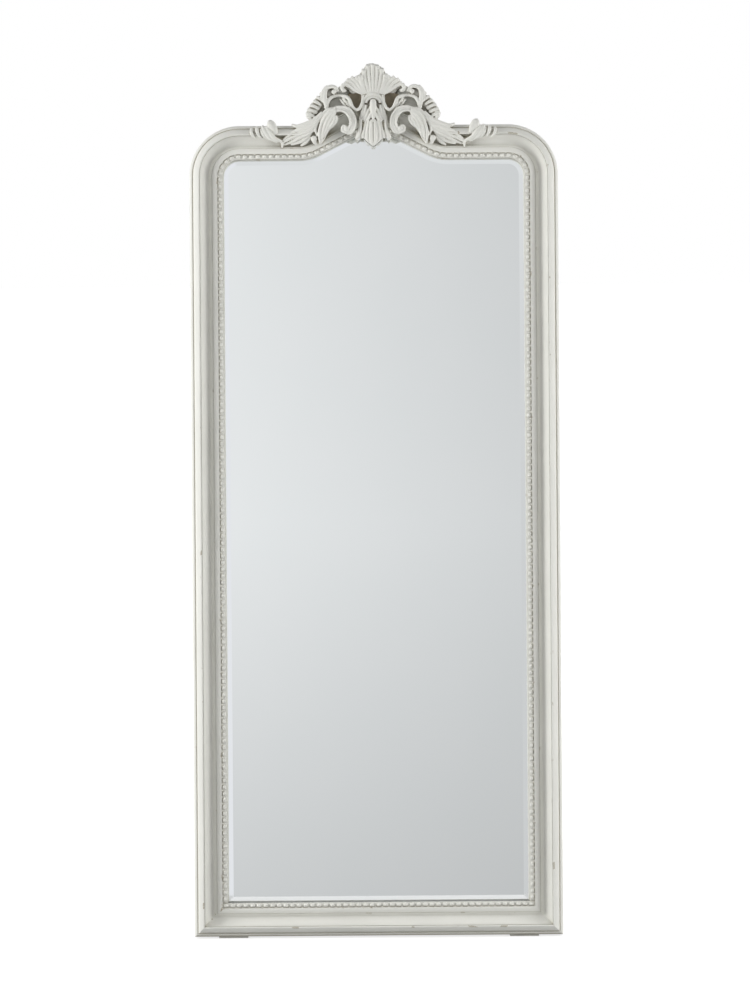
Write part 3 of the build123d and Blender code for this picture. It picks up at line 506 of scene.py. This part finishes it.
def ball(bm, side, u, v, w, radius, flat=1.0):
    """Round bud of carving."""
    pose = Matrix.Translation((side * u, APEX + v, w + swell(u))) @ Matrix.Diagonal((1, 1, flat, 1))
    bmesh.ops.create_icosphere(bm, subdivisions=3, radius=radius, matrix=pose)


def scroll(bm, side, middle, radius, start, end, height, thick):
    """Stroke along an arc, angles in degrees; height and thickness run from its start to its end."""
    points = []
    for i in range(9):
        t = i / 8
        angle = radians(start + (end - start) * t)
        points.append((middle[0] + radius * cos(angle), middle[1] + radius * sin(angle),
                       height[0] + (height[1] - height[0]) * t, thick[0] + (thick[1] - thick[0]) * t))
    stroke(bm, side, points, steps=28)


def plate(bm, side, outline, low, high):
    """Flat body of carving behind the strokes; the outline is a closed run of across and up."""
    loops = [loop_of(bm, [(side * u, APEX + v, w) for u, v in outline]) for w in (low, high)]
    bmesh.ops.bridge_loops(bm, edges=loops[0] + loops[1])
    for loop in loops:
        bmesh.ops.holes_fill(bm, edges=loop, sides=0)


def carve_shell(bm):
    """Plume, side lobes, eye and hanging leaf in the middle of the crest."""
    plate(bm, 1, [
        (-17, -2), (-28, 38), (-27, 46), (-20, 54), (-15, 63), (-8, 67), (0, 67), (8, 65), (17, 60),
        (24, 52), (28, 42), (17, -2),
    ], 18, 40)
    plate(bm, 1, [
        (-24, 4), (24, 4), (25, -17), (22, -30), (28, -48), (19, -52), (16, -70), (20, -85), (9, -95),
        (0, -102), (-9, -95), (-20, -85), (-16, -70), (-19, -52), (-28, -48), (-22, -30), (-25, -17),
    ], 19, 43.5)
    for foot, knee, tip in (
        (-13, -20, (-26.5, 43)), (-8.6, -13.4, (-19, 55)), (-4.4, -6.8, (-10.5, 64)), (0, 0, (-0.5, 65.5)),
        (4.4, 6.8, (9.5, 63)), (8.6, 13.4, (18.5, 56.5)), (13, 20, (26.5, 45)),
    ):
        high = tip[1]
        stroke(bm, 1, [(foot, 4, 37.5, 2.2), (knee, 0.45 * high, 38, 3.2),
                       (tip[0] * 0.94, high - 12, 38.5, 4.6), (tip[0] * 0.99, high - 4, 41, 5.2),
                       (tip[0], high - 1.5, 42.5, 4.2)])
    stroke(bm, 1, [(0, -10, 41, 5.6), (0, -17, 43, 7.2), (0, -28, 42.5, 6.2), (0, -40, 42, 4),
                   (0, -54, 41, 2.4)])
    scroll(bm, 1, (0, -18), 20.5, 2, 178, (39.5, 39.5), (3.4, 3.4))
    scroll(bm, 1, (0, -18), 13.6, 8, 172, (40.5, 40.5), (2.9, 2.9))
    stroke(bm, 1, [(0, -52, 38, 2.6), (0, -74, 38, 3), (0, -96, 35.5, 2.4)])
    for side in (-1, 1):
        plate(bm, side, [
            (14, 4), (22, 34), (31, 39), (46, 37), (58, 29), (61, 19), (50, 14), (46, 8), (39, 2), (28, 3),
            (16, 0),
        ], 18, 38.5)
        for bend, knee, tip in (
            ((19, 18), (22, 30), (25.5, 37)), ((22, 16), (27, 30), (35, 39)),
            ((26, 14), (34, 28), (45, 37.5)), ((29, 11), (41, 24), (54, 33)), ((32, 8), (46, 18), (60.5, 25)),
        ):
            stroke(bm, side, [(17, 2, 37, 2.2), (*bend, 38, 3), (*knee, 37.5, 3.9), (*tip, 41.5, 5)])
        stroke(bm, side, [(60, 24, 41, 4.2), (63.5, 17, 42, 4.2), (61, 10.5, 41, 3.8), (55, 11, 39, 2.6)])
        stroke(bm, side, [(20.5, -18, 39.5, 3.4), (21.5, -29, 38.5, 3.4), (24, -41, 37.5, 3.6),
                          (27.5, -49, 36.5, 3.2)])
        stroke(bm, side, [(13.6, -19, 40.5, 2.8), (15, -29, 39.5, 3.2), (18.5, -40, 38.5, 3.2),
                          (23, -50, 37.5, 2.8)])
        stroke(bm, side, [(5.5, -22, 39.5, 2.4), (9, -32, 40, 3), (13, -42, 39.5, 3.2), (18, -52, 38, 2.8)])
        stroke(bm, side, [(2.5, -33, 42, 2.4), (6.5, -43, 42, 3), (12, -52, 40, 3)])
        stroke(bm, side, [(3.2, -50, 41, 2.6), (5, -72, 40.5, 3.4), (4.6, -90, 38, 3.8), (1, -102, 35, 2.6)])
        stroke(bm, side, [(8.6, -52, 40, 2.7), (11.8, -72, 39, 3.6), (12.8, -86, 37, 4.2), (9, -94, 35, 3.2)])
        stroke(bm, side, [(14.8, -52, 38.5, 2.7), (17, -68, 37.5, 3.4), (20.4, -81, 36.5, 4),
                          (20, -87, 35, 3.4)])
        stroke(bm, side, [(26, -50, 37, 3.6), (27, -68, 37, 4.4), (31, -82, 35.5, 5), (35, -89, 34, 3.6)])
        stroke(bm, side, [(24, -58, 34, 2.6), (24.5, -74, 34, 3.4), (27, -87, 32, 3.6)])


def carve_spray(bm, side):
    """Scrolls, leaves, fronds and shoulder crescents of one side of the crest."""
    plate(bm, side, [(16, 8), (24, -36), (50, -32), (54, 14), (34, 14)], 6, 14)
    plate(bm, side, [
        (44, -30), (60, -26), (80, -30), (100, -60), (118, -54), (126, -44), (112, -24), (100, -6),
        (90, 6), (74, 11), (50, 14),
    ], 12, 25)
    plate(bm, side, [(50, 16), (60, 26), (70, 22), (78, 14), (74, 2), (56, 2)], 12, 24)
    plate(bm, side, [(90, -2), (102, -10), (126, -40), (128, -50), (112, -44), (98, -24)], 12, 33)
    plate(bm, side, [
        (98, 4), (95, 15), (85, 20), (76, 18), (72, 10), (78, 2), (88, -5), (100, -14), (112, -29),
        (124, -42), (133, -46), (138, -40), (137, -30), (127, -14), (116, -1),
    ], 20, 40)
    plate(bm, side, [
        (84, -26), (98, -24), (111, -41), (118, -60), (119, -72), (113, -85), (108, -97), (100, -86),
        (93, -72), (82, -60), (78, -46), (80, -34),
    ], 17, 35)
    # Inner scroll with its raised rims and volute
    stroke(bm, side, [(86, -33, 41.5, 4.6), (70, -28, 42, 5.8), (55, -31.5, 42, 6.6), (44.5, -44, 41.5, 7.4),
                      (42, -59, 41, 7), (46, -71, 40, 5.8), (54, -74.5, 40, 4.6)], steps=36)
    stroke(bm, side, [(86, -27.5, 44, 1.8), (69, -22.8, 45.5, 2.2), (50, -27, 46.5, 2.4),
                      (38.4, -44, 46.5, 2.4), (36.6, -61, 45.5, 2.3), (42, -74.6, 43.5, 2.1),
                      (54, -79, 41, 1.8)], steps=36)
    stroke(bm, side, [(82, -35, 45, 1.6), (69, -31.5, 48, 2), (57.5, -35, 50, 2.2), (49.6, -45, 50.5, 2.3),
                      (47.4, -58, 49, 2.2), (50.6, -66, 46, 2)], steps=36)
    stroke(bm, side, [(54, -75, 41.5, 4.2), (62, -71.5, 42, 4.2), (62, -64, 43, 3.8), (55.5, -63, 44, 3.4)])
    ball(bm, side, 55, -68, 43.5, 5.6)
    # Second arch and the collar that runs down to the eye
    stroke(bm, side, [(97, -26, 41, 4.4), (92, -10, 41, 4.2), (83, -1, 38, 3.8), (68, 1, 35, 3.4),
                      (55, -2, 39, 3.8), (49, -8, 41.5, 3.8), (45.5, -16, 42.5, 3.6), (41.5, -25, 42.5, 3.6),
                      (34.5, -29.5, 42, 3.4), (27.5, -26.5, 42, 3.4), (23.5, -18, 41.5, 3.2),
                      (20.5, -8, 40.5, 2.8), (19, 1, 40, 2.4)], steps=60)
    stroke(bm, side, [(62, -4, 35, 2.6), (54.5, -13, 39, 2.8), (49, -23, 41, 2.6), (43, -30, 41, 2.2)])
    stroke(bm, side, [(68, -6, 32, 2.4), (61.5, -14, 36, 2.6), (56, -22, 39, 2.4)])
    # Acanthus
    stroke(bm, side, [(84, -27, 43, 3.8), (97, -31, 42, 4), (111, -49, 40.5, 3.8), (118, -67, 38.5, 3.4),
                      (115, -82, 36, 2)])
    stroke(bm, side, [(78, -28, 46, 3.6), (93, -36.5, 45, 3.8), (105, -55, 43, 3.8), (111, -77, 40, 3.6),
                      (109, -98, 36, 2)])
    stroke(bm, side, [(77, -31, 46.5, 3), (89, -41.5, 46, 3.3), (98.5, -58, 44, 3.3), (104, -77, 40.5, 3),
                      (105, -92, 37, 1.8)])
    stroke(bm, side, [(77, -35, 46.5, 2.6), (85, -45.5, 46, 2.9), (92, -59, 44, 2.9), (98, -74, 40.5, 2.6),
                      (100, -86, 37, 1.6)])
    stroke(bm, side, [(79, -39, 45.5, 2.4), (80, -48.5, 45.5, 2.7), (86, -60, 43.5, 2.8), (93, -70, 40, 2.3),
                      (96, -78, 36, 1.6)])
    stroke(bm, side, [(75, -41, 45, 2.6), (74, -49, 44.5, 2.8), (79, -57.5, 42.5, 2.8), (86, -64, 39, 2.3)])
    # Bud under its dark crescent
    stroke(bm, side, [(122, -86, 36, 5), (121, -93, 34, 4.6), (117, -98, 30, 2.6)], steps=8)
    ball(bm, side, 122, -87, 36, 6.6)
    # Upper leaf, rolled round its eye
    stroke(bm, side, [(96, -22, 41, 4.4), (99, -8, 42, 5), (99, 5, 43, 4.8), (95, 15, 43, 4.4),
                      (85, 19, 43, 4.2), (76, 16, 42, 3.8), (72, 8, 40, 3.2)], steps=28)
    stroke(bm, side, [(103, -13, 41, 2.6), (105, -2, 43, 3), (102, 11, 44, 3), (94, 20, 43, 2.6)])
    ball(bm, side, 80.5, 8, 43, 5)
    for outer, inner in (
        ((136, -43), (128, -46)), ((138, -36), (121, -42)), ((135, -27.5), (115, -35)),
        ((129.5, -19), (110, -27)), ((123, -10.5), (106, -19)), ((116, -2), (103, -11)),
        ((108.5, 5.5), (100, -2)),
    ):
        middle = ((outer[0] + inner[0]) / 2 + 1.5, (outer[1] + inner[1]) / 2 + 2)
        stroke(bm, side, [(*outer, 40, 3.2), (*middle, 41.5, 3.8), (*inner, 38.5, 3)], steps=8)
    # Fronds along the rail
    stroke(bm, side, [(104, -34, 41, 4), (121, -49, 39.5, 5), (140, -57, 38, 4.8), (157, -61, 36, 3.8),
                      (168, -57, 34, 2.4)])
    stroke(bm, side, [(112, -50, 41, 3.6), (130, -61, 39.5, 4.2), (150, -67, 36.5, 4.2),
                      (169, -75, 32.5, 3.6), (186, -89, 27, 2.4)])
    stroke(bm, side, [(117, -59, 40, 3.6), (132, -69, 37.5, 4.2), (150, -75, 34, 4.2), (168, -83, 29, 3.6),
                      (187, -93, 24, 2.4)])
    stroke(bm, side, [(120, -67, 37.5, 3.4), (134, -77, 34, 4), (152, -83.5, 29, 4), (168, -91, 24.5, 3.4),
                      (184, -97, 21, 2.2)])
    stroke(bm, side, [(126, -75, 34, 3.2), (138, -85, 29, 3.8), (152, -92, 24.5, 3.6), (170, -97, 21, 2.2)])
    stroke(bm, side, [(128, -81, 31, 3), (138, -92.5, 25, 3.4), (150, -99, 21, 2.4)])
    # Knob, straps and crescents of the shoulder
    stroke(bm, side, [(217, -56, 34, 8.5), (211, -58, 35, 10.5), (205, -66, 36, 8.5), (200, -77, 33, 5)])
    stroke(bm, side, [(221, -62, 38, 3.4), (213, -74, 40, 4.2), (203, -85, 34.5, 4), (189, -92, 26, 3.2),
                      (188, -104, 20.5, 2)])
    stroke(bm, side, [(228, -60, 36, 3.4), (223, -72, 40, 4.2), (213, -84, 34.5, 4), (198, -92, 25, 2.6)])
    stroke(bm, side, [(231, -66, 38, 3), (228, -75, 39, 3.8), (222, -82, 34.5, 3.4), (214, -87, 29, 2)])
    stroke(bm, side, [(239, -62, 35, 3.2), (239, -71, 40, 4), (235, -79, 36, 3.4), (228, -85, 30, 2)])
    stroke(bm, side, [(250, -65, 35, 3), (251, -73, 39.5, 3.7), (248, -80, 36.5, 3.2), (242, -85, 31, 1.8)])


def carved(name, strokes, nodes):
    """Melts overlapping strokes into one carved piece."""
    bm = bmesh.new()
    strokes(bm)
    bmesh.ops.recalc_face_normals(bm, faces=bm.faces)
    bm.transform(MIRROR)
    rough = bpy.data.meshes.new(name + "_strokes")
    bm.to_mesh(rough)
    bm.free()
    model = bpy.data.objects.new(name + "_strokes", rough)
    bpy.context.scene.collection.objects.link(model)
    melt = model.modifiers.new("melt", "REMESH")
    melt.mode = "VOXEL"
    melt.voxel_size = CREST_GRAIN
    settle = model.modifiers.new("settle", "SMOOTH")
    settle.factor = 0.5
    settle.iterations = 2
    ready = model.evaluated_get(bpy.context.evaluated_depsgraph_get())
    mesh = bpy.data.meshes.new_from_object(ready)
    mesh.materials.clear()
    bpy.data.objects.remove(model)
    bpy.data.meshes.remove(rough)
    return finish_mesh(name, mesh, "mirror", nodes, crest_paint)


# Dark sheets set into the recesses under the collars paint the shade that falls there
for side, name in ((-1, "left"), (1, "right")):
    hollow_bm = bmesh.new()
    plate(hollow_bm, side, [
        (20, 2), (23, -17), (28, -26), (34, -29), (41, -25), (46, -15), (50, -6), (52, 4), (34, 6),
    ], CREST_HOLLOW_LOW, CREST_HOLLOW_HIGH)
    bmesh.ops.recalc_face_normals(hollow_bm, faces=hollow_bm.faces)
    finish_piece(name + "_hollow", hollow_bm, "mirror", ["crest_" + name + "_scroll"], painted_hollow_shadow,
                 smooth=False)

carved("carved_shell", carve_shell, ["crest_shell"])
carved("carved_left_spray", lambda bm: carve_spray(bm, -1), ["crest_left_scroll"])
carved("carved_right_spray", lambda bm: carve_spray(bm, 1), ["crest_right_scroll"])

# Leg, batten and track block


def softened(name, body):
    """Copy of a plain wooden piece with its long arrises eased."""
    bm = bmesh.new()
    bm.from_mesh(frame["nodes"][name].data)
    bmesh.ops.remove_doubles(bm, verts=bm.verts, dist=1e-6)
    bmesh.ops.dissolve_limit(bm, angle_limit=0.02, verts=bm.verts, edges=bm.edges)
    long_edges = [
        edge for edge in bm.edges if edge.calc_length() > EASED_LENGTH and edge.calc_face_angle(0) > 0.5
    ]
    bmesh.ops.bevel(bm, geom=long_edges, offset=EASED_ARRIS, offset_type="OFFSET", affect="EDGES", segments=2,
                    profile=0.5, material=-1)
    mesh = bpy.data.meshes.new(name + "_eased")
    bm.to_mesh(mesh)
    bm.free()
    mesh.materials.clear()
    piece = finish_mesh(name + "_eased", mesh, body, [name], plain_paint)
    sharpen(piece, 0.7)


for name in ("hinge_batten", "track_block"):
    softened(name, "mirror")
for name in ("left_leg_upright", "right_leg_upright", "leg_top_rail", "leg_middle_rail", "leg_foot_rail"):
    softened(name, "leg")

# Studio

scene = bpy.context.scene
scene.view_settings.view_transform = "Standard"

FIELD_HEIGHT = 2061.0
FIELD_MIDDLE = (-2.0, 898.0)
CAMERA_DISTANCE = 6000.0
CAMERA_ROLL = radians(0.42)
CAMERA_SENSOR = 36.0
FRAME_FACE = 25.0

# Greys of the air and the floor; the floor is less white near the mirror, so that a shadow stays.
# Distances are in metres.
AIR_GREY = (0.27, 0.27, 0.27)
FLOOR_GREY = (0.5, 0.5, 0.5)
NEAR, NEAR_WHITE = 0.5, 0.72
FAR, FAR_WHITE = 2.2, 0.92
FLOOR_IN_GLASS = 0.45

camera_data = bpy.data.cameras.new("camera")
camera_data.sensor_fit = "AUTO"
camera_data.sensor_width = CAMERA_SENSOR
camera_data.lens = CAMERA_SENSOR * CAMERA_DISTANCE / FIELD_HEIGHT
camera_data.clip_end = 100
camera = bpy.data.objects.new("camera", camera_data)
scene.collection.objects.link(camera)
eye = MIRROR @ Vector((*FIELD_MIDDLE, CAMERA_DISTANCE + FRAME_FACE))
camera.matrix_world = Matrix.Translation(eye) @ lean_turn @ Matrix.Rotation(-CAMERA_ROLL, 4, "Z")
scene.camera = camera


def softbox(name, place, aim, size, power):
    """Large soft lamp aimed at a place."""
    data = bpy.data.lights.new(name, "AREA")
    data.shape = "RECTANGLE"
    data.size, data.size_y = size
    data.energy = power
    lamp = bpy.data.objects.new(name, data)
    lamp.location = place
    lamp.rotation_euler = (Vector(aim) - Vector(place)).to_track_quat("-Z", "Y").to_euler()
    scene.collection.objects.link(lamp)
    lamp.visible_glossy = False
    return lamp


softbox("key", place=(-3.15, -1.15, 1.35), aim=(0, 0, 1.0), size=(1.1, 2.2), power=88)
softbox("fill", place=(3.15, -1.15, 1.3), aim=(0, 0, 1.0), size=(1.1, 2.2), power=67)
softbox("back", place=(0.9, 3.2, 1.9), aim=(0, 0, 0.9), size=(2.0, 2.0), power=70)
softbox("top", place=(0, -1.3, 3.4), aim=(0, 0, 1.3), size=(2.4, 0.9), power=6)

world = bpy.data.worlds.new("studio")
scene.world = world
world.use_nodes = True
air = world.node_tree.nodes
air_links = world.node_tree.links
background = air["Background"]
ray = air.new("ShaderNodeLightPath")
way = air.new("ShaderNodeTexCoord")
split = air.new("ShaderNodeSeparateXYZ")
air_links.new(way.outputs["Generated"], split.inputs["Vector"])


def studio_wall(source, greys):
    """Run of greys over a direction's part, from -1 to 1."""
    spread = air.new("ShaderNodeMath")
    spread.operation = "MULTIPLY_ADD"
    spread.inputs[1].default_value = 0.5
    spread.inputs[2].default_value = 0.5
    air_links.new(source, spread.inputs[0])
    band = air.new("ShaderNodeValToRGB")
    for _ in greys[2:]:
        band.color_ramp.elements.new(0.5)
    for stop, (place, grey) in zip(band.color_ramp.elements, greys):
        stop.position = 0.5 + 0.5 * place
        stop.color = (grey * 0.985, grey, grey * 1.01, 1)
    air_links.new(spread.outputs["Value"], band.inputs["Fac"])
    return band.outputs["Color"]


left_wall = studio_wall(split.outputs["Z"], [
    (-0.1, 0.62), (0.0, 0.66), (0.13, 0.88), (0.28, 0.84), (0.5, 0.78),
])
right_wall = studio_wall(split.outputs["Z"], [
    (-0.1, 0.55), (0.0, 0.58), (0.13, 0.72), (0.28, 0.68), (0.36, 0.7), (0.46, 0.8),
])
turn_right = studio_wall(split.outputs["X"], [(-0.05, 0.0), (0.05, 1.0)])
wall = mix(air, air_links, turn_right, left_wall, right_wall)
far_left = studio_wall(split.outputs["X"], [(-0.16, 1.0), (-0.10, 0.0)])
wall = mix(air, air_links, far_left, wall, (0.85, 0.86, 0.89))
far_right = studio_wall(split.outputs["X"], [(0.10, 0.0), (0.16, 1.0)])
right_side = studio_wall(split.outputs["Z"], [(0.0, 0.66), (0.13, 0.69), (0.26, 0.80)])
wall = mix(air, air_links, far_right, wall, right_side)
seen = mix(air, air_links, ray.outputs["Is Camera Ray"], wall, (1.0, 1.0, 1.0))
lit = mix(air, air_links, ray.outputs["Is Diffuse Ray"], seen, AIR_GREY)
air_links.new(lit, background.inputs["Color"])

floor_mesh = bpy.data.meshes.new("floor")
floor_bm = bmesh.new()
bmesh.ops.create_grid(floor_bm, x_segments=1, y_segments=1, size=20)
floor_bm.to_mesh(floor_mesh)
floor_bm.free()
floor = bpy.data.objects.new("floor", floor_mesh)
scene.collection.objects.link(floor)
floor_paint, floor_nodes, floor_links, floor_shader = new_material("floor_paint", 0.9, FLOOR_GREY)
floor_ray = floor_nodes.new("ShaderNodeLightPath")
floor_shader.inputs["Emission Color"].default_value = (1, 1, 1, 1)
floor_place = floor_nodes.new("ShaderNodeTexCoord")
floor_reach = floor_nodes.new("ShaderNodeVectorMath")
floor_reach.operation = "LENGTH"
floor_white = floor_nodes.new("ShaderNodeMapRange")
floor_white.inputs["From Min"].default_value = NEAR
floor_white.inputs["From Max"].default_value = FAR
floor_white.inputs["To Min"].default_value = NEAR_WHITE
floor_white.inputs["To Max"].default_value = FAR_WHITE
floor_links.new(floor_place.outputs["Object"], floor_reach.inputs[0])
floor_links.new(floor_reach.outputs["Value"], floor_white.inputs["Value"])
floor_seen = floor_nodes.new("ShaderNodeMath")
floor_seen.operation = "MULTIPLY"
floor_links.new(floor_ray.outputs["Is Camera Ray"], floor_seen.inputs[0])
floor_links.new(floor_white.outputs["Result"], floor_seen.inputs[1])
floor_glow = floor_nodes.new("ShaderNodeMath")
floor_glow.operation = "MULTIPLY_ADD"
floor_glow.inputs[1].default_value = FLOOR_IN_GLASS
floor_links.new(floor_ray.outputs["Is Glossy Ray"], floor_glow.inputs[0])
floor_links.new(floor_seen.outputs["Value"], floor_glow.inputs[2])
floor_links.new(floor_glow.outputs["Value"], floor_shader.inputs["Emission Strength"])
floor_mesh.materials.append(floor_paint)
